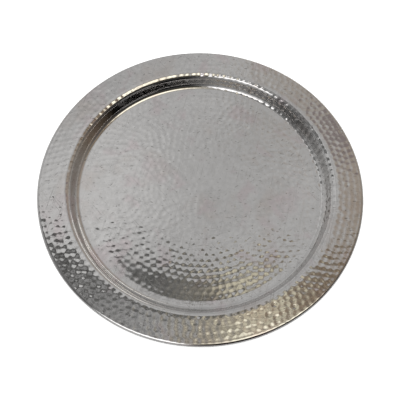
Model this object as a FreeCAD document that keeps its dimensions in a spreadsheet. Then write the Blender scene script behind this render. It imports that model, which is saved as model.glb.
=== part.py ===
import FreeCAD, Part
import math
import os

import Sketcher

# A round hammered plate in sheet metal: a flat base, a steep ogee wall and a wide flat rim,
# with the rim's edge curled down around a hoop of stiff wire.
# Millimetres, +Z up. The origin is the centre of the base's underside.

SIZES = {
    "outer_diameter": 304.8,    # across the rim's curled edge: 12 inches
    "rim_width": 25.8,          # from the end of the shoulder's curve to the outer edge
    "well_depth": 11.7,         # from the top of the base to the top of the rim
    "wall_angle": 65.0,         # the straight of the wall, in degrees from the base
    "corner_radius": 5.5,       # hollow curve from the base into the wall, on its upper face
    "shoulder_radius": 5.5,     # round curve from the wall onto the rim, on its upper face
    "sheet_thickness": 1.0,
    "wire_diameter": 2.0,
    "wire_clearance": 0.02,     # between the wire and the sheet curled around it
    "curl_angle": 285.0,        # how far the edge is wrapped round the wire, in degrees
    "wire_gap": 0.6,            # between the two butted ends of the wire
}

# Sizes that follow from the ones above, as expressions on the sheet.
BORE_RADIUS = "(Sizes.wire_diameter / 2 + Sizes.wire_clearance)"
BEAD_RADIUS = "(" + BORE_RADIUS + " + Sizes.sheet_thickness)"
HEIGHT = "(Sizes.sheet_thickness + Sizes.well_depth)"
HOOP_RADIUS = "(Sizes.outer_diameter / 2 - " + BEAD_RADIUS + ")"
HOOP_HEIGHT = "(" + HEIGHT + " - " + BEAD_RADIUS + ")"
WIRE_SWEEP = "360 - Sizes.wire_gap / " + HOOP_RADIUS + " * 180 / pi"

START, END, CENTRE = 1, 2, 3    # the points of a line or an arc in a sketch
ORIGIN = (-1, 1)                # the sketch's own origin


def size_sheet(doc):
    """The sheet that every dimension is read from."""
    sheet = doc.addObject("Spreadsheet::Sheet", "Sizes")
    for row, (name, value) in enumerate(SIZES.items(), start=1):
        sheet.set("A%d" % row, name)
        sheet.set("B%d" % row, str(value))
        sheet.setAlias("B%d" % row, name)
    doc.recompute()
    return sheet


def new_body(doc, label):
    """A body and an empty sketch on its upright XZ plane."""
    body = doc.addObject("PartDesign::Body", label)
    body.Label = label
    body.Placement = FreeCAD.Placement()
    sketch = body.newObject("Sketcher::SketchObject", label + "_profile")
    plane = next(item for item in body.Origin.OriginFeatures if item.Role == "XZ_Plane")
    sketch.AttachmentSupport = [(plane, "")]
    sketch.MapMode = "FlatFace"
    return body, sketch


def turn(body, sketch, name):
    """Revolve a body's profile about the plate's axis."""
    feature = body.newObject("PartDesign::Revolution", name)
    feature.Profile = sketch
    feature.ReferenceAxis = (sketch, ["V_Axis"])
    body.Tip = feature
    return feature


def bind(sketch, name, expression, *constraint):
    """Add a dimension to a sketch and tie it to the sheet."""
    index = sketch.addConstraint(Sketcher.Constraint(*constraint))
    sketch.renameConstraint(index, name)
    sketch.setExpression("Constraints." + name, expression)


def line(sketch, first, last):
    ends = [FreeCAD.Vector(x, y, 0) for x, y in (first, last)]
    return sketch.addGeometry(Part.LineSegment(*ends), False)


def arc(sketch, centre, radius, first_angle, last_angle):
    """An arc that runs anticlockwise from its first angle to its last, in degrees."""
    circle = Part.Circle(FreeCAD.Vector(*centre, 0), FreeCAD.Vector(0, 0, 1), radius)
    span = [math.radians(angle) for angle in (first_angle, last_angle)]
    return sketch.addGeometry(Part.ArcOfCircle(circle, *span), False)


def polar(centre, radius, angle):
    """The point on a circle at an angle in degrees."""
    turned = math.radians(angle)
    return (centre[0] + radius * math.cos(turned), centre[1] + radius * math.sin(turned))


def plate_body(doc):
    """The sheet: base, wall, rim and the curl round the wire, as one turned profile."""
    body, sketch = new_body(doc, "plate_body")
    value = SIZES
    sheet = value["sheet_thickness"]
    height = sheet + value["well_depth"]
    wall = value["wall_angle"]
    corner, shoulder = value["corner_radius"], value["shoulder_radius"]
    bore = value["wire_diameter"] / 2 + value["wire_clearance"]
    bead = bore + sheet
    cut = 90 - value["curl_angle"]      # direction of the sheet's cut edge, from the wire

    # Centres of the three bends, drawn from the outer edge inwards.
    edge = value["outer_diameter"] / 2
    bead_centre = (edge - bead, height - bead)
    shoulder_centre = (edge - value["rim_width"], height - shoulder)
    rise = value["well_depth"] - (corner + shoulder) * (1 - math.cos(math.radians(wall)))
    run = (corner + shoulder) * math.sin(math.radians(wall)) + rise / math.tan(math.radians(wall))
    corner_centre = (shoulder_centre[0] - run, sheet + corner)

    # Upper face, from the axis outwards.
    base_top = line(sketch, (0, sheet), (corner_centre[0], sheet))
    corner_top = arc(sketch, corner_centre, corner, -90, wall - 90)
    wall_top = line(sketch, polar(corner_centre, corner, wall - 90),
                    polar(shoulder_centre, shoulder, wall + 90))
    shoulder_top = arc(sketch, shoulder_centre, shoulder, 90, wall + 90)
    rim_top = line(sketch, (shoulder_centre[0], height), (bead_centre[0], height))
    curl_outside = arc(sketch, bead_centre, bead, cut, 90)
    cut_edge = line(sketch, polar(bead_centre, bead, cut), polar(bead_centre, bore, cut))

    # Under face, from the curl back to the axis.
    curl_inside = arc(sketch, bead_centre, bore, cut, 90)
    rim_under = line(sketch, (bead_centre[0], height - sheet),
                     (shoulder_centre[0], height - sheet))
    shoulder_under = arc(sketch, shoulder_centre, shoulder - sheet, 90, wall + 90)
    wall_under = line(sketch, polar(shoulder_centre, shoulder - sheet, wall + 90),
                      polar(corner_centre, corner + sheet, wall - 90))
    corner_under = arc(sketch, corner_centre, corner + sheet, -90, wall - 90)
    base_under = line(sketch, (corner_centre[0], 0), (0, 0))
    axis = line(sketch, (0, 0), (0, sheet))

    flowing = [
        (base_top, END, corner_top, START), (corner_top, END, wall_top, START),
        (wall_top, END, shoulder_top, END), (shoulder_top, START, rim_top, START),
        (rim_top, END, curl_outside, END), (curl_inside, END, rim_under, START),
        (rim_under, END, shoulder_under, START), (shoulder_under, END, wall_under, START),
        (wall_under, END, corner_under, END), (corner_under, START, base_under, START),
    ]
    for joint in flowing:
        sketch.addConstraint(Sketcher.Constraint("Tangent", *joint))
    meeting = [
        (curl_outside, START, cut_edge, START), (cut_edge, END, curl_inside, START),
        (base_under, END, *ORIGIN), (axis, START, *ORIGIN), (axis, END, base_top, START),
        (corner_top, CENTRE, corner_under, CENTRE),
        (shoulder_top, CENTRE, shoulder_under, CENTRE),
        (curl_outside, CENTRE, curl_inside, CENTRE),
    ]
    for joint in meeting:
        sketch.addConstraint(Sketcher.Constraint("Coincident", *joint))
    for level in (base_top, base_under, rim_top, rim_under):
        sketch.addConstraint(Sketcher.Constraint("Horizontal", level))
    sketch.addConstraint(Sketcher.Constraint("Vertical", axis))
    sketch.addConstraint(
        Sketcher.Constraint("PointOnObject", curl_outside, CENTRE, cut_edge))

    bind(sketch, "base_sheet", "Sizes.sheet_thickness", "DistanceY",
         axis, START, axis, END, sheet)
    bind(sketch, "rim_sheet", "Sizes.sheet_thickness", "DistanceY",
         rim_under, START, rim_top, END, sheet)
    bind(sketch, "height", HEIGHT, "DistanceY", *ORIGIN, rim_top, END, height)
    bind(sketch, "corner", "Sizes.corner_radius", "Radius", corner_top, corner)
    bind(sketch, "shoulder", "Sizes.shoulder_radius", "Radius", shoulder_top, shoulder)
    bind(sketch, "bore", BORE_RADIUS, "Radius", curl_inside, bore)
    bind(sketch, "hoop", HOOP_RADIUS, "DistanceX",
         *ORIGIN, curl_outside, CENTRE, bead_centre[0])
    bind(sketch, "flat_rim", "Sizes.rim_width - " + BEAD_RADIUS, "DistanceX",
         shoulder_top, CENTRE, curl_outside, CENTRE, value["rim_width"] - bead)
    bind(sketch, "wall", "Sizes.wall_angle", "Angle", wall_top, math.radians(wall))
    bind(sketch, "curl", "Sizes.curl_angle", "Angle",
         curl_outside, math.radians(value["curl_angle"]))

    doc.recompute()
    turn(body, sketch, "spun_sheet")
    return body


def rim_wire(doc):
    """The stiffening wire: a round bar bent into a hoop, its two ends butted."""
    body, sketch = new_body(doc, "rim_wire")
    value = SIZES
    radius = value["wire_diameter"] / 2
    bead = radius + value["wire_clearance"] + value["sheet_thickness"]
    centre = (value["outer_diameter"] / 2 - bead,
              value["sheet_thickness"] + value["well_depth"] - bead)
    circle = Part.Circle(FreeCAD.Vector(*centre, 0), FreeCAD.Vector(0, 0, 1), radius)
    section = sketch.addGeometry(circle, False)
    bind(sketch, "section", "Sizes.wire_diameter / 2", "Radius", section, radius)
    bind(sketch, "hoop", HOOP_RADIUS, "DistanceX", *ORIGIN, section, CENTRE, centre[0])
    bind(sketch, "level", HOOP_HEIGHT, "DistanceY", *ORIGIN, section, CENTRE, centre[1])
    doc.recompute()
    hoop = turn(body, sketch, "bent_wire")
    hoop.Midplane = True
    hoop.setExpression("Angle", WIRE_SWEEP)
    return body


def check(doc, bodies):
    """Stop unless every object was built and every piece is one sound solid."""
    for item in doc.Objects:
        if "Invalid" in item.State or "Error" in item.State:
            raise RuntimeError("%s failed: %s" % (item.Label, item.State))
        if item.TypeId == "Sketcher::SketchObject" and not item.FullyConstrained:
            raise RuntimeError(item.Label + " isn't fully constrained")
    for body in bodies:
        shape = body.Shape
        if shape.isNull() or not shape.isValid() or len(shape.Solids) != 1:
            raise RuntimeError(body.Label + " isn't one valid solid")


def main():
    doc = FreeCAD.newDocument("offering_plate")
    size_sheet(doc)
    bodies = [plate_body(doc), rim_wire(doc)]
    doc.recompute()
    check(doc, bodies)
    os.makedirs("parts", exist_ok=True)
    for body in bodies:
        body.Shape.exportStep(os.path.join("parts", body.Label + ".step"))
        box = body.Shape.optimalBoundingBox(False, False)
        print("%s: %.2f x %.2f x %.2f mm, %.1f mm3"
              % (body.Label, box.XLength, box.YLength, box.ZLength, body.Shape.Volume))


main()
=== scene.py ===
import math
import random

import bmesh
import bpy
from mathutils import Matrix, Quaternion, Vector
from mathutils.kdtree import KDTree


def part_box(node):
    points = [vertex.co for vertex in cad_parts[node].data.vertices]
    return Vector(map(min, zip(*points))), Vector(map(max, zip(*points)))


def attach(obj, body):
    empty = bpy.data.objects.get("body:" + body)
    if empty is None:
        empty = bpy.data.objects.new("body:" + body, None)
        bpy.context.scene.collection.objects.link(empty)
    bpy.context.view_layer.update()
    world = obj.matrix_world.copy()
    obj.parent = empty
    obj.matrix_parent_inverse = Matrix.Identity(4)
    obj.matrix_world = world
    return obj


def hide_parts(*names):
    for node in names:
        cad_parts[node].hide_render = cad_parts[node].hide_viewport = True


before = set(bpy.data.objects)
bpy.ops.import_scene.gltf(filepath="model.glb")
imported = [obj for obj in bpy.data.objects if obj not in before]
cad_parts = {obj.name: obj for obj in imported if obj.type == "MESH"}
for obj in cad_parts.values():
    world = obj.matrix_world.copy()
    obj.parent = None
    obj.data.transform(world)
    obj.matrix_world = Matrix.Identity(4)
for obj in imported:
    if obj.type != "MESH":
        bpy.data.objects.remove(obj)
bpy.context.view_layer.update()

MM = 0.001

# The plate, in metres. Its width and height come from the frame.
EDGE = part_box("plate_body")[1].x            # outer radius, at the curled edge
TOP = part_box("plate_body")[1].z             # height of the rim's upper face
SHEET = 1.0 * MM                            # thickness of the metal
WALL = math.radians(65)                     # slope of the straight of the wall
CORNER = 5.5 * MM                           # hollow curve at the foot of the wall
SHOULDER = 5.5 * MM                         # round curve at the head of the wall
RIM = 25.8 * MM                             # flat rim, from the shoulder to the edge
BORE = 1.02 * MM                            # inside of the curl, round the wire
BEAD = BORE + SHEET                         # outside of the curl
CURL = math.radians(285)                    # how far the edge is wrapped

SHOULDER_CENTRE = Vector((EDGE - RIM, 0, TOP - SHOULDER))
BEAD_CENTRE = Vector((EDGE - BEAD, 0, TOP - BEAD))
WALL_RISE = TOP - SHEET - (CORNER + SHOULDER) * (1 - math.cos(WALL))
WALL_RUN = (CORNER + SHOULDER) * math.sin(WALL) + WALL_RISE / math.tan(WALL)
CORNER_CENTRE = Vector((SHOULDER_CENTRE.x - WALL_RUN, 0, SHEET + CORNER))
BASE = CORNER_CENTRE.x                      # radius of the flat base
UP_WALL = Vector((math.cos(WALL), 0, math.sin(WALL))) * (WALL_RISE / math.sin(WALL))
ALONG_RIM = Vector((BEAD_CENTRE.x - SHOULDER_CENTRE.x, 0, 0))

# How finely the sheet is divided. The underside is smoother, so it takes fewer divisions.
UPPER_STEPS = 760                           # round the plate, on the hammered face
UNDER_STEPS = 200                           # round the plate, on the underside
UPPER_PARTS = {"corner": 11, "wall": 7, "shoulder": 11, "rim": 21, "curl": 15}
UNDER_PARTS = {"curl": 12, "rim": 8, "shoulder": 5, "wall": 2, "corner": 6}
WELD = 0.01 * MM                            # points closer than this are one point

# The hammering.
SEED = 12
MARK_PITCH = 6.5 * MM                       # from mark to mark along a row
ROW_PITCH = 5.0 * MM                        # from row to row
MARK_GAP = 6.1 * MM                         # no two marks are closer than about this
MARK_RADIUS = 3.45 * MM
MARK_SIZES = (0.88, 1.1)                    # least and most, as shares of that radius
MARK_STRAY = 0.22                           # how far a blow strays along its row, in pitches
BASE_DEPTH = 0.094 * MM
RIM_DEPTH = 0.095 * MM
SHOULDER_DEPTH = 0.16 * MM
WALL_DEPTH = 0.34 * MM
CORNER_SHARE = 0.6                          # depth at the corner, as a share of the wall's
FORCE = (0.55, 1.1)                         # an ordinary blow, as shares of the full depth
HEAVY_CHANCE = 0.10
HEAVY_FORCE = (1.15, 1.45)
EDGE_CHANCE = 0.03                          # a small deep mark, from the edge of the hammer
EDGE_FORCE = (1.3, 1.7)
EDGE_SIZE = 0.65
EASE_TURNS = 7                              # how often crowded marks are moved apart
EASE_PUSH = 0.32

# Where the marks are. The rows on the shoulder, the wall and the corner are given as shares
# of the curve or of the straight.
FIRST_ROW = 2.5 * MM                        # radius of the first ring of marks on the base
LAST_ROW = 4.5 * MM                         # the last ring is this far short of the corner
RIM_MARGINS = (1.5 * MM, 3 * MM)            # from the shoulder and from the curl
SHOULDER_ROWS = (0.25, 0.95)
WALL_ROW = 0.6
CORNER_ROW = 0.5

# How strongly each part was struck. Distances on the base are from the corner inwards.
MIDDLE_SHARE = 0.7
MIDDLE_ENDS = (0.1 * BASE, 0.5 * BASE)      # lighter blows inside the first radius
OUTER_ENDS = (29 * MM, 16 * MM)
OUTER_LOSS = 0.25                           # lighter blows near the corner
SMOOTH_LOSS = 0.43                          # and lighter still where it was planished
BASE_END = (4 * MM, 1 * MM)
CURL_FADE = 1 * MM
RIM_DROP = (0.7 * MM, 0.1 * MM)             # the rim's blows fade this far below its face
WALL_START = 5 * MM
WALL_END = 3 * MM

# Parts of the ring worked differently: the middle in degrees anticlockwise from the right,
# and the two turns away from it between which the difference fades.
FAR_MIDDLE = 85
FAR_FADE = (95, 115)
STRUCK_MIDDLE = 28
STRUCK_FADE = (42, 58)
LIGHT_FADE = (120, 140)
LIGHT_SHARE = 0.08                          # strength of the light blows between those two
SMOOTH_MIDDLE = 250
SMOOTH_FADE = (18, 42)

# Planished bands, and the spring left in the worked sheet.
LIP_TILT = math.radians(16)                 # slope of the planished band on the shoulder
LIP_SPAN = math.radians(14)                 # half of the arc that the band takes up
FOOT_TILT = math.radians(17)                # the same for the narrower band at the corner
FOOT_SPAN = math.radians(9)
LIFT = 0.17 * MM                            # the base rises this much towards the corner
LIFT_RUN = 12 * MM
LIFT_END = (0.3 * MM, 5 * MM)               # and the rise fades this far past the base
DROOP = 0.05 * MM                           # the rim falls this much towards the shoulder
DROOP_RUN = 4 * MM
DROOP_END = (4.5 * MM, 0.3 * MM)            # and the fall fades this far inside the rim


# ---------------------------------------------------------------- the plate's shape

def straight(bm, vert, move, parts):
    """Draw on from a point in a straight line."""
    for _ in range(parts):
        vert = bmesh.ops.extrude_vert_indiv(bm, verts=[vert])["verts"][0]
        vert.co += move / parts
    return vert


def bend(bm, vert, centre, angle, parts):
    """Draw on from a point round a centre, anticlockwise seen from the front."""
    swept = bmesh.ops.spin(bm, geom=[vert], cent=centre, axis=(0, -1, 0), dvec=(0, 0, 0),
                           angle=angle, steps=parts, use_merge=False)
    return next(item for item in swept["geom_last"] if isinstance(item, bmesh.types.BMVert))


def revolve(bm, steps):
    """Spin everything drawn so far right round the plate's axis."""
    bmesh.ops.spin(bm, geom=bm.verts[:] + bm.edges[:], cent=(0, 0, 0), axis=(0, 0, 1),
                   dvec=(0, 0, 0), angle=math.tau, steps=steps, use_merge=True)


def disc(bm, radius, height, steps):
    """A flat disc of even squares whose edge has the same divisions as a revolved part."""
    side = steps // 4
    made = bmesh.ops.create_grid(bm, x_segments=side, y_segments=side, size=1)["verts"]
    for vert in made:
        x, y = vert.co.x, vert.co.y
        if abs(x) >= abs(y):
            reach, angle = x, (math.pi / 4 * y / x if x else 0)
        else:
            reach, angle = y, math.pi / 2 - math.pi / 4 * x / y
        vert.co = (radius * reach * math.cos(angle), radius * reach * math.sin(angle), height)


def upper_face():
    """The face seen from above, from the base out to the cut edge inside the curl."""
    bm = bmesh.new()
    vert = bm.verts.new((BASE, 0, SHEET))
    vert = bend(bm, vert, CORNER_CENTRE, WALL, UPPER_PARTS["corner"])
    vert = straight(bm, vert, UP_WALL, UPPER_PARTS["wall"])
    vert = bend(bm, vert, SHOULDER_CENTRE, -WALL, UPPER_PARTS["shoulder"])
    vert = straight(bm, vert, ALONG_RIM, UPPER_PARTS["rim"])
    bend(bm, vert, BEAD_CENTRE, -CURL, UPPER_PARTS["curl"])
    revolve(bm, UPPER_STEPS)
    disc(bm, BASE, SHEET, UPPER_STEPS)
    bmesh.ops.remove_doubles(bm, verts=bm.verts[:], dist=WELD)
    return bm


def under_face():
    """The face against the wire and the table, from the cut edge back to the centre."""
    bm = bmesh.new()
    cut = math.pi / 2 - CURL
    first = BEAD_CENTRE + BORE * Vector((math.cos(cut), 0, math.sin(cut)))
    vert = bm.verts.new(first)
    vert = bend(bm, vert, BEAD_CENTRE, CURL, UNDER_PARTS["curl"])
    vert = straight(bm, vert, -ALONG_RIM, UNDER_PARTS["rim"])
    vert = bend(bm, vert, SHOULDER_CENTRE, WALL, UNDER_PARTS["shoulder"])
    vert = straight(bm, vert, -UP_WALL, UNDER_PARTS["wall"])
    bend(bm, vert, CORNER_CENTRE, -WALL, UNDER_PARTS["corner"])
    revolve(bm, UNDER_STEPS)
    disc(bm, BASE, 0, UNDER_STEPS)
    bmesh.ops.remove_doubles(bm, verts=bm.verts[:], dist=WELD)
    return bm


def ease(value, start, end):
    """0 before start, 1 after end, and smooth between them."""
    share = min(1, max(0, (value - start) / (end - start)))
    return share * share * (3 - 2 * share)


def ring_marks(place, depth, rng, strength=None):
    """Blows in one ring round the plate: a list of (centre, radius, depth)."""
    marks = []
    count = max(1, round(math.tau * place.x / MARK_PITCH))
    start = rng.random()
    for step in range(count):
        angle = math.tau * (start + step + rng.uniform(-MARK_STRAY, MARK_STRAY)) / count
        centre = Matrix.Rotation(angle, 3, "Z") @ place
        force = rng.uniform(*FORCE)
        radius = MARK_RADIUS * rng.uniform(*MARK_SIZES)
        chance = rng.random()
        if chance < EDGE_CHANCE:
            force = rng.uniform(*EDGE_FORCE)
            radius *= EDGE_SIZE
        elif chance < EDGE_CHANCE + HEAVY_CHANCE:
            force = rng.uniform(*HEAVY_FORCE)
        if strength:
            force *= strength(math.degrees(angle) % 360)
        marks.append((centre, radius, depth * force))
    return marks


def ease_apart(marks, inner, outer):
    """Move crowded blows apart, as they are spaced by eye when the metal is worked."""
    for _ in range(EASE_TURNS):
        tree = mark_finder(marks)
        moved = []
        for centre, radius, depth in marks:
            push = Vector((0, 0, 0))
            for other, _, distance in tree.find_n(centre, 7):
                if 0 < distance < MARK_GAP:
                    push += (centre - other) * (EASE_PUSH * (MARK_GAP - distance) / distance)
            place = centre + push
            reach = math.hypot(place.x, place.y)
            if reach > 0:
                held = min(max(reach, inner), outer) / reach
                place = Vector((place.x * held, place.y * held, place.z))
            moved.append((place, radius, depth))
        marks = moved
    return marks


def field_marks(first_row, last_row, height, depth, rng):
    """Blows in rough rings over a flat part of the plate."""
    rows = max(1, round((last_row - first_row) / ROW_PITCH))
    marks = []
    for row in range(rows + 1):
        ring = first_row + (last_row - first_row) * row / rows
        marks += ring_marks(Vector((ring, 0, height)), depth, rng)
    return ease_apart(marks, first_row - 1.5 * MM, last_row + 1 * MM)


def turned_from(degrees, middle):
    """The angle between two directions round the plate, either way."""
    return abs((degrees - middle + 180) % 360 - 180)


def far_side(degrees):
    """The far half was worked harder over the edge of the wall: 1 there, 0 at the near side."""
    return 1 - ease(turned_from(degrees, FAR_MIDDLE), *FAR_FADE)


def right_side(degrees):
    """The wall itself was struck hard at the right and the far right, lightly elsewhere."""
    away = turned_from(degrees, STRUCK_MIDDLE)
    lost = (1 - LIGHT_SHARE) * ease(away, *STRUCK_FADE) + LIGHT_SHARE * ease(away, *LIGHT_FADE)
    return 1 - lost


def near_side(degrees):
    """The base was planished smoother at the front left, towards the wall: 1 there."""
    return 1 - ease(turned_from(degrees, SMOOTH_MIDDLE), *SMOOTH_FADE)


def mark_finder(marks):
    tree = KDTree(len(marks))
    for index, (centre, _, _) in enumerate(marks):
        tree.insert(centre, index)
    tree.balance()
    return tree


def hollow_at(point, marks, tree):
    """How deep the blows have left the metal at a point."""
    deepest = 0
    for _, index, distance in tree.find_n(point, 5):
        _, radius, depth = marks[index]
        deepest = max(deepest, depth * (1 - (distance / radius) ** 2))
    return deepest


def on_straight(share):
    """A point a share of the way down the straight of the wall."""
    head = SHOULDER_CENTRE + SHOULDER * Vector((-math.sin(WALL), 0, math.cos(WALL)))
    return head - Vector((WALL_RISE / math.tan(WALL), 0, WALL_RISE)) * share


def on_shoulder(tilt):
    return SHOULDER_CENTRE + SHOULDER * Vector((-math.sin(tilt), 0, math.cos(tilt)))


def on_corner(tilt):
    return CORNER_CENTRE + CORNER * Vector((math.sin(tilt), 0, -math.cos(tilt)))


def flattened(tilt, middle, span, radius):
    """How far a curve stands off the flat band planished across it."""
    off = abs(tilt - middle)
    return radius * (1 - math.cos(span) / math.cos(off)) if off < span else 0


def planish(vert, strength):
    """Flatten a band along the shoulder and another along the corner."""
    reach = math.hypot(vert.co.x, vert.co.y)
    out = SHOULDER_CENTRE.x - reach
    up = vert.co.z - SHOULDER_CENTRE.z
    if up > 0 and out > 0:
        return strength * flattened(math.atan2(out, up), LIP_TILT, LIP_SPAN, SHOULDER)
    out = reach - CORNER_CENTRE.x
    up = CORNER_CENTRE.z - vert.co.z
    if up > 0 and out > 0:
        return -strength * flattened(math.atan2(out, up), FOOT_TILT, FOOT_SPAN, CORNER)
    return 0


def sprung(reach):
    """The spring of the worked sheet: the base rises to the corner, the rim falls to the wall."""
    rise = max(0, (reach - BASE + LIFT_RUN) / LIFT_RUN)
    lift = LIFT * min(1, rise) ** 2 * (1 - ease(reach - BASE, *LIFT_END))
    fall = max(0, (SHOULDER_CENTRE.x + DROOP_RUN - reach) / DROOP_RUN)
    droop = DROOP * min(1, fall) ** 2
    droop *= ease(SHOULDER_CENTRE.x - reach, *DROOP_END)
    return droop - lift


def all_marks():
    """Every blow: those on the base and the rim, and those over the wall."""
    rng = random.Random(SEED)
    flat = field_marks(FIRST_ROW, BASE - LAST_ROW, SHEET, BASE_DEPTH, rng)
    flat += field_marks(SHOULDER_CENTRE.x + RIM_MARGINS[0], BEAD_CENTRE.x - RIM_MARGINS[1], TOP,
                        RIM_DEPTH, rng)
    head, lip = (on_shoulder(WALL * row) for row in SHOULDER_ROWS)
    steep = ring_marks(head, SHOULDER_DEPTH, rng, far_side)
    steep += ring_marks(lip, WALL_DEPTH, rng, right_side)
    steep += ring_marks(on_straight(WALL_ROW), WALL_DEPTH, rng, right_side)
    steep += ring_marks(on_corner(WALL * CORNER_ROW), WALL_DEPTH * CORNER_SHARE, rng, right_side)
    return flat, steep


def flat_share(reach, height, turn):
    """How strongly the base or the rim was struck at a place."""
    if reach < BASE:
        share = MIDDLE_SHARE + (1 - MIDDLE_SHARE) * ease(reach, *MIDDLE_ENDS)
        loss = OUTER_LOSS + SMOOTH_LOSS * near_side(turn)
        share *= 1 - loss * ease(BASE - reach, *OUTER_ENDS)
        return share * (1 - ease(BASE - reach, *BASE_END))
    share = 1 - ease(reach, BEAD_CENTRE.x - CURL_FADE, BEAD_CENTRE.x + CURL_FADE)
    return share * ease(TOP - height, *RIM_DROP)


def hammer(bm):
    """Beat the marks into the base, the rim and the far side of the wall."""
    flat, steep = all_marks()
    flat_tree = mark_finder(flat)
    steep_tree = mark_finder(steep)
    bm.normal_update()
    moves = []
    for vert in bm.verts:
        reach = math.hypot(vert.co.x, vert.co.y)
        turn = math.degrees(math.atan2(vert.co.y, vert.co.x)) % 360
        share = flat_share(reach, vert.co.z, turn)
        deep = share * hollow_at(vert.co, flat, flat_tree) if share else 0
        if BASE - WALL_START < reach < SHOULDER_CENTRE.x + WALL_END:
            deep = max(deep, hollow_at(vert.co, steep, steep_tree))
            deep += planish(vert, far_side(turn))
        if BASE - LIFT_RUN < reach < SHOULDER_CENTRE.x + DROOP_RUN:
            deep += sprung(reach)
        moves.append((vert, deep))
    for vert, deep in moves:
        vert.co -= vert.normal * deep


def mesh_object(bm, name):
    mesh = bpy.data.meshes.new(name)
    bm.to_mesh(mesh)
    bm.free()
    for face in mesh.polygons:
        face.use_smooth = True
    obj = bpy.data.objects.new(name, mesh)
    bpy.context.scene.collection.objects.link(obj)
    return obj


def hammered_plate():
    """The whole sheet: hammered face, underside and the cut edge that joins them."""
    upper = upper_face()
    bmesh.ops.recalc_face_normals(upper, faces=upper.faces[:])
    if upper.faces[0].normal.z < 0 and upper.faces[-1].normal.z < 0:
        bmesh.ops.reverse_faces(upper, faces=upper.faces[:])
    hammer(upper)
    under = under_face()
    spare = bpy.data.meshes.new("underside")
    under.to_mesh(spare)
    under.free()
    upper.from_mesh(spare)
    bpy.data.meshes.remove(spare)
    bmesh.ops.bridge_loops(upper, edges=[edge for edge in upper.edges if edge.is_boundary])
    bmesh.ops.recalc_face_normals(upper, faces=upper.faces[:])
    return mesh_object(upper, "hammered_plate")


# ---------------------------------------------------------------- node helpers

class Nodes:
    """A short way to write a node tree."""

    def __init__(self, owner):
        owner.use_nodes = True
        self.tree = owner.node_tree
        self.tree.nodes.clear()

    def add(self, kind, inputs=None, **settings):
        node = self.tree.nodes.new(kind)
        for key, value in settings.items():
            setattr(node, key, value)
        for key, value in (inputs or {}).items():
            self.feed(node.inputs[key], value)
        return node

    def feed(self, socket, value):
        if isinstance(value, bpy.types.Node):
            value = value.outputs[0]
        if isinstance(value, bpy.types.NodeSocket):
            self.tree.links.new(value, socket)
        elif isinstance(value, tuple) and len(value) == 3 and socket.type == "RGBA":
            socket.default_value = (*value, 1)
        else:
            socket.default_value = value

    def sum(self, operation, *values, clamp=False):
        return self.add("ShaderNodeMath", dict(enumerate(values)), operation=operation,
                        use_clamp=clamp)

    def step(self, value, low, high, start=0.0, end=1.0):
        """A smooth step of a value from start to end."""
        return self.add("ShaderNodeMapRange", {"Value": value, "From Min": low, "From Max": high,
                                               "To Min": start, "To Max": end},
                        interpolation_type="SMOOTHSTEP")

    def window(self, value, opens, closes):
        """1 while a value is past the first soft edge and short of the second, 0 outside."""
        return self.sum("MULTIPLY", self.step(value, *opens), self.step(value, *closes, 1.0, 0.0))

    def mix(self, share, first, second, blend="MIX"):
        node = self.add("ShaderNodeMix", data_type="RGBA", blend_type=blend)
        for index, value in ((0, share), (6, first), (7, second)):
            self.feed(node.inputs[index], value)
        return node.outputs[2]

    def patch(self, first, second, centre, size):
        """1 inside a soft-edged oval of the plane with these two coordinates, 0 outside."""
        offset = self.add("ShaderNodeCombineXYZ", {
            "X": self.sum("MULTIPLY_ADD", first, 1 / size[0], -centre[0] / size[0]),
            "Y": self.sum("MULTIPLY_ADD", second, 1 / size[1], -centre[1] / size[1])})
        reach = self.add("ShaderNodeVectorMath", {"Vector": offset}, operation="LENGTH")
        return self.step(reach.outputs["Value"], 0.55, 1.15, 1.0, 0.0)

    def ramp(self, share, stops, curve="EASE"):
        """A colour ramp through (place, colour) stops."""
        node = self.add("ShaderNodeValToRGB", {"Fac": share})
        node.color_ramp.interpolation = curve
        elements = node.color_ramp.elements
        while len(elements) < len(stops):
            elements.new(1.0)
        for element, (place, colour) in zip(elements, stops):
            element.position = place
        for element, (place, colour) in zip(elements, stops):
            element.color = (*colour, 1)
        return node.outputs[0]


# ---------------------------------------------------------------- materials

BRIGHT = (0.69, 0.68, 0.67)
TARNISHED = (0.64, 0.60, 0.575)
BLUSHED = (0.67, 0.605, 0.61)
DULLED = (0.54, 0.53, 0.52)
PITTED = (0.16, 0.15, 0.14)
SCRATCHED = (0.34, 0.33, 0.32)
NICKED = (0.22, 0.21, 0.20)
WIRE_BRIGHT = (0.47, 0.46, 0.45)
WIRE_DULL = (0.33, 0.32, 0.31)
SHINE = (0.045, 0.085)                      # roughness of the clean and of the dulled metal
WORN_ROUGHNESS = 0.10                       # added in scratches, nicks and pits
GRAIN_HEIGHT = 0.02 * MM

# Fine lines in the polish: direction in degrees, width, length, and how rare they are.
SCRATCHES = [(12, 0.5 * MM, 40 * MM, 0.675), (81, 0.45 * MM, 22 * MM, 0.685),
             (138, 0.5 * MM, 30 * MM, 0.69)]
NICKS = [(97, 1.3 * MM, 5 * MM, 0.71), (50, 1.2 * MM, 6 * MM, 0.72)]
LINE_EDGE = 0.035


def scratches(nodes, place, degrees, width, length, share):
    """Thin, straight scratches one way over the sheet, with some bend in them."""
    turned = nodes.add("ShaderNodeMapping", {"Vector": place,
                                             "Rotation": (0.0, 0.0, math.radians(degrees)),
                                             "Location": (0.013 * degrees, 0.0, 0.0)})
    drawn = nodes.add("ShaderNodeMapping", {"Vector": turned,
                                            "Scale": (1 / width, 1 / length, 1 / length)})
    lines = nodes.add("ShaderNodeTexNoise", {"Vector": drawn, "Scale": 1.0, "Detail": 1.0,
                                             "Distortion": 0.25})
    return nodes.step(lines, share, share + LINE_EDGE)


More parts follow.
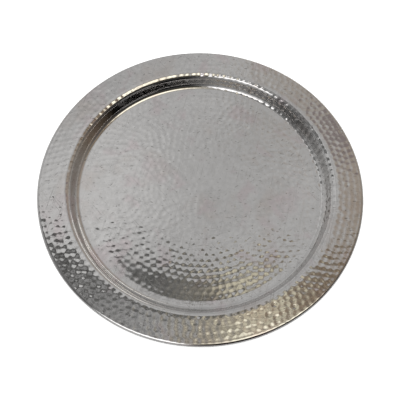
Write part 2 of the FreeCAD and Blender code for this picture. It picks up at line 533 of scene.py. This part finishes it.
def all_scratches(nodes, place, kinds):
    """Several kinds of scratch together."""
    drawn = [scratches(nodes, place, *kind) for kind in kinds]
    lines = drawn[0]
    for other in drawn[1:]:
        lines = nodes.sum("MAXIMUM", lines, other)
    return lines


def plate_metal():
    """Polished, hammered sheet: fine scratches, small pits and a faint uneven tarnish."""
    material = bpy.data.materials.new("hammered_sheet")
    nodes = Nodes(material)
    place = nodes.add("ShaderNodeTexCoord").outputs["Object"]

    tarnish = nodes.add("ShaderNodeTexNoise", {"Vector": place, "Scale": 22.0, "Detail": 3.0,
                                               "Roughness": 0.6})
    blush = nodes.add("ShaderNodeTexNoise", {"Vector": place, "Scale": 37.0, "Detail": 2.0,
                                             "Distortion": 0.6})
    mottle = nodes.add("ShaderNodeTexNoise", {"Vector": place, "Scale": 150.0, "Detail": 5.0,
                                              "Roughness": 0.7})
    colour = nodes.mix(nodes.step(tarnish, 0.52, 0.72), BRIGHT, TARNISHED)
    colour = nodes.mix(nodes.step(blush, 0.54, 0.70, 0.0, 0.8), colour, BLUSHED)
    colour = nodes.mix(nodes.step(mottle, 0.40, 0.75, 0.0, 0.6), colour, DULLED)

    # Small pits, in about a quarter of the cells of a scattered pattern.
    cells = nodes.add("ShaderNodeTexVoronoi", {"Vector": place, "Scale": 230.0,
                                               "Randomness": 1.0}, feature="F1")
    chance = nodes.add("ShaderNodeSeparateColor", {"Color": cells.outputs["Color"]})
    pit = nodes.sum("MULTIPLY", nodes.step(cells.outputs["Distance"], 0.06, 0.18, 1.0, 0.0),
                    nodes.step(chance, 0.72, 0.80))
    colour = nodes.mix(nodes.sum("MULTIPLY", pit, 0.6), colour, PITTED)

    lines = all_scratches(nodes, place, SCRATCHES)
    nicks = all_scratches(nodes, place, NICKS)
    colour = nodes.mix(nodes.sum("MULTIPLY", lines, 0.42), colour, SCRATCHED)
    colour = nodes.mix(nodes.sum("MULTIPLY", nicks, 0.65), colour, NICKED)

    worn = nodes.sum("MAXIMUM", pit, nodes.sum("MAXIMUM", lines, nicks))
    roughness = nodes.sum("ADD", nodes.step(mottle, 0.35, 0.75, *SHINE),
                          nodes.sum("MULTIPLY", worn, WORN_ROUGHNESS))
    grain = nodes.add("ShaderNodeTexNoise", {"Vector": place, "Scale": 900.0, "Detail": 3.0})
    height = nodes.sum("SUBTRACT", grain, nodes.sum("MULTIPLY", worn, 0.8))
    bump = nodes.add("ShaderNodeBump", {"Strength": 0.10, "Distance": GRAIN_HEIGHT,
                                        "Height": height})
    shader = nodes.add("ShaderNodeBsdfPrincipled",
                       {"Base Color": colour, "Metallic": 1.0, "Roughness": roughness,
                        "Normal": bump})
    nodes.add("ShaderNodeOutputMaterial", {"Surface": shader})
    return material


def wire_metal():
    """Plain drawn steel wire."""
    material = bpy.data.materials.new("drawn_wire")
    nodes = Nodes(material)
    place = nodes.add("ShaderNodeTexCoord").outputs["Object"]
    dulling = nodes.add("ShaderNodeTexNoise", {"Vector": place, "Scale": 400.0, "Detail": 4.0})
    colour = nodes.mix(nodes.step(dulling, 0.4, 0.7), WIRE_BRIGHT, WIRE_DULL)
    shader = nodes.add("ShaderNodeBsdfPrincipled",
                       {"Base Color": colour, "Metallic": 1.0,
                        "Roughness": nodes.step(dulling, 0.3, 0.7, 0.3, 0.45)})
    nodes.add("ShaderNodeOutputMaterial", {"Surface": shader})
    return material


def pale_floor():
    material = bpy.data.materials.new("pale_floor")
    nodes = Nodes(material)
    matt = nodes.add("ShaderNodeBsdfDiffuse", {"Color": (0.4, 0.4, 0.4)})
    glow = nodes.add("ShaderNodeEmission", {"Color": (1.0, 1.0, 1.0), "Strength": 0.8})
    shader = nodes.add("ShaderNodeAddShader")
    nodes.feed(shader.inputs[0], matt)
    nodes.feed(shader.inputs[1], glow)
    nodes.add("ShaderNodeOutputMaterial", {"Surface": shader})
    return material


# ---------------------------------------------------------------- studio

CAMERA_DISTANCE = 4.0 * EDGE
CAMERA_HEIGHT_ANGLE = math.radians(63.3)
CAMERA_ROLL = math.radians(1.4)
CAMERA_LENS = 58.56
AIM = Vector((-0.001 * EDGE, -0.111 * EDGE, TOP))


def camera():
    data = bpy.data.cameras.new("camera")
    data.lens = CAMERA_LENS
    data.sensor_width = 36.0
    obj = bpy.data.objects.new("camera", data)
    bpy.context.scene.collection.objects.link(obj)
    obj.location = Vector((0, -CAMERA_DISTANCE * math.cos(CAMERA_HEIGHT_ANGLE),
                           TOP + CAMERA_DISTANCE * math.sin(CAMERA_HEIGHT_ANGLE)))
    obj.rotation_mode = "QUATERNION"
    level = (AIM - obj.location).to_track_quat("-Z", "Y")
    obj.rotation_quaternion = level @ Quaternion((0, 0, 1), CAMERA_ROLL)
    bpy.context.scene.camera = obj


# The colours that the room is painted in.
BLACK = (0.0, 0.0, 0.0)
SOOT = (0.05, 0.05, 0.05)
CHARCOAL = (0.10, 0.10, 0.10)
UMBER = (0.25, 0.20, 0.15)
SLATE = (0.30, 0.30, 0.30)
TAUPE = (0.40, 0.35, 0.30)
STONE = (0.45, 0.45, 0.45)
OCHRE = (0.50, 0.45, 0.35)
PLASTER = (0.55, 0.55, 0.55)
CHALK = (0.70, 0.70, 0.70)
WINDOW = (1.0, 1.0, 1.0)

# The walls round the plate, low down and high up: one entry for each wall or corner, as
# degrees anticlockwise from the right and the colour there.
LOW_WALLS = [(0, UMBER), (45, PLASTER), (90, STONE), (145, CHALK), (180, SLATE),
             (205, CHARCOAL), (240, SLATE), (260, SLATE), (280, BLACK), (335, BLACK),
             (360, UMBER)]
HIGH_WALLS = [(0, CHARCOAL), (45, TAUPE), (90, STONE), (145, PLASTER), (180, SLATE),
              (205, CHARCOAL), (230, WINDOW), (265, SLATE), (280, SOOT), (335, SOOT),
              (360, CHARCOAL)]
WALL_HEIGHTS = (0.15, 0.72)                 # the low walls turn into the high ones between

# Panels on the walls: the soft ends round the turn, as shares of it, those up the wall, and
# the colour. One is pale, at the front right, and one is a dark rail at the back left.
WALL_PANELS = [(((0.832, 0.855), (0.905, 0.93)), ((0.17, 0.25), (0.31, 0.37)),
                (0.52, 0.51, 0.50)),
               (((0.30, 0.33), (0.42, 0.45)), ((0.27, 0.29), (0.345, 0.365)),
                (0.20, 0.19, 0.18))]

# A thin strip light climbs the far wall.
STRIP_CLIMB = (3.72, -0.37)                 # its height is the turn times this, plus this
STRIP_ENDS = ((0.105, 0.125), (0.215, 0.24))
STRIP_WIDTH = (0.02, 0.05)
STRIP_LIGHT = (2.2, 2.1, 1.95)

# The ceiling over the plate. Places on it are in plate radii, right and back from the spot
# that the middle of the plate mirrors. The ramps run from left to right.
SPREAD = 1.5
PALE = [(0.0, PLASTER), (0.3, CHALK), (0.5, PLASTER), (0.7, PLASTER), (0.85, TAUPE),
        (1.0, TAUPE)]
PALE_FAR = [(0.0, STONE), (0.5, PLASTER), (0.85, TAUPE), (1.0, TAUPE)]
DIM = [(0.0, CHARCOAL), (0.4, SLATE), (0.6, OCHRE), (0.7, UMBER), (1.0, UMBER)]
FAR_STARTS = (-0.05, 0.80)
BRINK = (-0.575, -0.545)                    # where the pale ceiling ends and the dim part starts
BRINK_BEND = (0.12, -0.06)                  # the brink bends back at the left and the right
BRINK_RISE = ((0.10, 0.38), (0.58, 0.85), 0.045)

# Spots on the ceiling: middle, half size, strength and colour.
DARK_PATCH = ((0.93, 0.44), (0.23, 0.24), 0.82, (0.25, 0.21, 0.215))
GLOW = ((0.36, -0.71), (0.24, 0.14), 0.8, (0.80, 0.75, 0.58))
BULB = ((0.30, -1.02), (0.13, 0.11), 1.0, (1.15, 1.10, 0.88))
SHADE_EDGE = (-0.79, -0.66)                 # a dark stretch just in front of the brink
SHADE_SIDES = (0.05, 0.35, 0.68, 0.02)      # strong at the left, almost nothing at the right
SHADE = (0.03, 0.03, 0.025)
RULE_EDGE = (-0.630, -0.605)                # a thin dark line along the brink at the right
RULE_START = (0.0, 0.25)
RULE_STRENGTH = 0.42
RULE = (0.07, 0.055, 0.04)
PANEL_SLANT = (0.75, 0.20)                  # the white panel's slanting back edge
PANEL_EDGE = (-0.03, 0.05)
PANEL_END = (-0.09, -0.02)
PANEL_LIGHT = (2.0, 1.99, 2.0)
LAMP_PLACE = ((0.20, 0.112), (0.20, 0.125))
LAMP_LIGHT = (2.2, 2.10, 1.76)
FRONT_START = (-0.22, -0.04)
FRONT_SIDE = (-0.02, 0.04)
FRONT_DARK = (0.07, 0.065, 0.045)
# The table as the metal sees it: a painted shadow, dark, straight beneath the plate, and pale
# further out.
TABLE_PAINTED_SHADOW = (0.12, 0.12, 0.12)
TABLE_PALE = (0.85, 0.85, 0.85)
WHITE = (1.0, 1.0, 1.0)


def room_walls(nodes, turn, up):
    """The walls all round, by the turn from the right and by how high they are met."""
    low, high = (nodes.ramp(turn, [(degrees / 360, colour) for degrees, colour in stops],
                            "LINEAR") for stops in (LOW_WALLS, HIGH_WALLS))
    walls = nodes.mix(nodes.step(up, *WALL_HEIGHTS), low, high)
    for turns, heights, colour in WALL_PANELS:
        shown = nodes.sum("MULTIPLY", nodes.window(turn, *turns), nodes.window(up, *heights))
        walls = nodes.mix(shown, walls, colour)
    height = nodes.sum("MULTIPLY_ADD", turn, *STRIP_CLIMB)
    off = nodes.sum("ABSOLUTE", nodes.sum("SUBTRACT", up, height))
    strip = nodes.sum("MULTIPLY", nodes.step(off, *STRIP_WIDTH, 1.0, 0.0),
                      nodes.window(turn, *STRIP_ENDS))
    return nodes.mix(strip, walls, STRIP_LIGHT)


def spot(nodes, across, along, kind, colour):
    """Put one soft oval spot on a stretch of ceiling."""
    middle, size, strength, paint = kind
    share = nodes.patch(across, along, middle, size)
    return nodes.mix(nodes.sum("MULTIPLY", share, strength), colour, paint)


def brink_of(nodes, across, along):
    """How far a place on the ceiling is behind the bent line that the brink follows."""
    slope = nodes.sum("MULTIPLY_ADD", across, *BRINK_BEND)
    starts, ends, most = BRINK_RISE
    rise = nodes.sum("MULTIPLY", nodes.step(across, *starts), nodes.step(across, *ends, most, 0.0))
    bend_back = nodes.sum("ADD", nodes.sum("MULTIPLY", slope, across), rise)
    return nodes.sum("SUBTRACT", along, bend_back)


def pale_ceiling(nodes, way, spread, across, along):
    """The broad pale ceiling, a little hazy, with a dark patch to the far right."""
    pale = nodes.mix(nodes.step(along, *FAR_STARTS), nodes.ramp(spread, PALE),
                     nodes.ramp(spread, PALE_FAR))
    pale = spot(nodes, across, along, DARK_PATCH, pale)
    haze = nodes.add("ShaderNodeTexNoise", {"Vector": way, "Scale": 10.0, "Detail": 4.0,
                                            "Roughness": 0.7})
    return nodes.mix(1.0, pale, nodes.step(haze, 0.30, 0.70, 0.91, 1.10), "MULTIPLY")


def dim_ceiling(nodes, way, spread, across, along, brink):
    """The dimmer part in front of the brink, cloudy, with its shade, glow and bulb."""
    clouds = nodes.add("ShaderNodeTexNoise", {"Vector": way, "Scale": 22.0, "Detail": 3.0,
                                              "Roughness": 0.6})
    dim = nodes.mix(1.0, nodes.ramp(spread, DIM), nodes.step(clouds, 0.30, 0.70, 0.6, 1.6),
                    "MULTIPLY")
    shade = nodes.sum("MULTIPLY", nodes.step(brink, *SHADE_EDGE),
                      nodes.step(across, *SHADE_SIDES))
    dim = nodes.mix(shade, dim, SHADE)
    rule = nodes.sum("MULTIPLY", nodes.step(brink, *RULE_EDGE), nodes.step(across, *RULE_START))
    dim = nodes.mix(nodes.sum("MULTIPLY", rule, RULE_STRENGTH), dim, RULE)
    dim = spot(nodes, across, along, GLOW, dim)
    return spot(nodes, across, along, BULB, dim)


def front_lights(nodes, right, back, dim):
    """A white panel front left, a warmer lamp right of the top, and dark beyond it."""
    edge = nodes.sum("SUBTRACT", nodes.sum("MULTIPLY_ADD", right, *PANEL_SLANT), back)
    panel = nodes.sum("MULTIPLY", nodes.step(edge, *PANEL_EDGE),
                      nodes.step(right, *PANEL_END, 1.0, 0.0))
    dim = nodes.mix(panel, dim, PANEL_LIGHT)
    lamp = nodes.patch(right, back, *LAMP_PLACE)
    dim = nodes.mix(lamp, dim, LAMP_LIGHT)
    front = nodes.sum("MULTIPLY", nodes.step(back, *FRONT_START, 1.0, 0.0),
                      nodes.step(right, *FRONT_SIDE))
    beside = nodes.sum("MULTIPLY", front, nodes.sum("SUBTRACT", 1.0, lamp))
    return nodes.mix(beside, dim, FRONT_DARK)


def studio_world():
    """Soft surroundings: pale walls and ceiling, a bright panel front left, a lamp, dark parts."""
    world = bpy.data.worlds.new("studio")
    bpy.context.scene.world = world
    nodes = Nodes(world)
    way = nodes.add("ShaderNodeTexCoord").outputs["Generated"]
    east, north, up = nodes.add("ShaderNodeSeparateXYZ", {"Vector": way}).outputs
    turn = nodes.sum("FRACT", nodes.sum("DIVIDE", nodes.sum("ARCTAN2", north, east), math.tau))
    walls = room_walls(nodes, turn, up)

    # Overhead, everything is placed by where it would meet a level ceiling one unit up.
    above = nodes.sum("MAXIMUM", up, 0.03)
    right = nodes.sum("DIVIDE", east, above)
    back = nodes.sum("DIVIDE", north, above)

    # The same place in plate radii, from the spot that the middle of the plate mirrors.
    reach = CAMERA_DISTANCE * math.sin(CAMERA_HEIGHT_ANGLE) / EDGE
    stand = CAMERA_DISTANCE * math.cos(CAMERA_HEIGHT_ANGLE) / EDGE
    across = nodes.sum("MULTIPLY", right, reach)
    along = nodes.sum("MULTIPLY_ADD", back, reach, -stand)
    spread = nodes.add("ShaderNodeMapRange", {"Value": across, "From Min": -SPREAD,
                                              "From Max": SPREAD})
    brink = brink_of(nodes, across, along)
    pale = pale_ceiling(nodes, way, spread, across, along)
    dim = dim_ceiling(nodes, way, spread, across, along, brink)
    dim = front_lights(nodes, right, back, dim)
    ceiling = nodes.mix(nodes.step(brink, *BRINK), dim, pale)

    # The ceiling is met in a bay to the back and, nearer, in all that is almost overhead.
    sides = nodes.step(nodes.sum("ABSOLUTE", right), 0.34, 0.75, 1.0, 0.0)
    far = nodes.sum("MULTIPLY", nodes.step(back, 0.85, 1.1, 1.0, 0.0), sides)
    far = nodes.sum("MULTIPLY", far, nodes.step(back, 0.10, 0.20))
    near = nodes.sum("MULTIPLY", nodes.step(up, 0.76, 0.88),
                     nodes.step(back, 0.10, 0.20, 1.0, 0.0))
    colour = nodes.mix(nodes.sum("MAXIMUM", far, near), walls, ceiling)
    # Below the horizon the metal sees the table in the world, since the floor is kept out of its
    # reflections: pale towards the sides and, looking steeply down, a painted shadow where the
    # plate would shade the table.
    table = nodes.mix(nodes.step(up, -0.80, -0.40), TABLE_PAINTED_SHADOW, TABLE_PALE)
    colour = nodes.mix(nodes.step(up, -0.03, 0.0), table, colour)

    seen = nodes.add("ShaderNodeLightPath").outputs["Is Camera Ray"]
    colour = nodes.mix(seen, colour, WHITE)
    sky = nodes.add("ShaderNodeBackground", {"Color": colour, "Strength": 1.0})
    nodes.add("ShaderNodeOutputWorld", {"Surface": sky})


def soft_light():
    """A broad light overhead for the floor alone, kept out of the metal's reflections."""
    data = bpy.data.lights.new("overhead", "AREA")
    data.shape = "DISK"
    data.size = 3.0
    data.energy = 62.0
    obj = bpy.data.objects.new("overhead", data)
    bpy.context.scene.collection.objects.link(obj)
    obj.location = (0, 0, 2.2)
    obj.visible_glossy = False
    obj.visible_camera = False


def floor():
    bm = bmesh.new()
    bmesh.ops.create_circle(bm, cap_ends=True, segments=96, radius=6.0)
    obj = mesh_object(bm, "floor")
    obj.data.materials.append(pale_floor())
    obj.visible_glossy = False


# ---------------------------------------------------------------- put together

plate = hammered_plate()
plate.data.materials.append(plate_metal())
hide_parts("plate_body")
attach(plate, "root")

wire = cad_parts["rim_wire"]
wire.data.materials.clear()
wire.data.materials.append(wire_metal())

camera()
studio_world()
soft_light()
floor()
bpy.context.scene.view_settings.view_transform = "Standard"
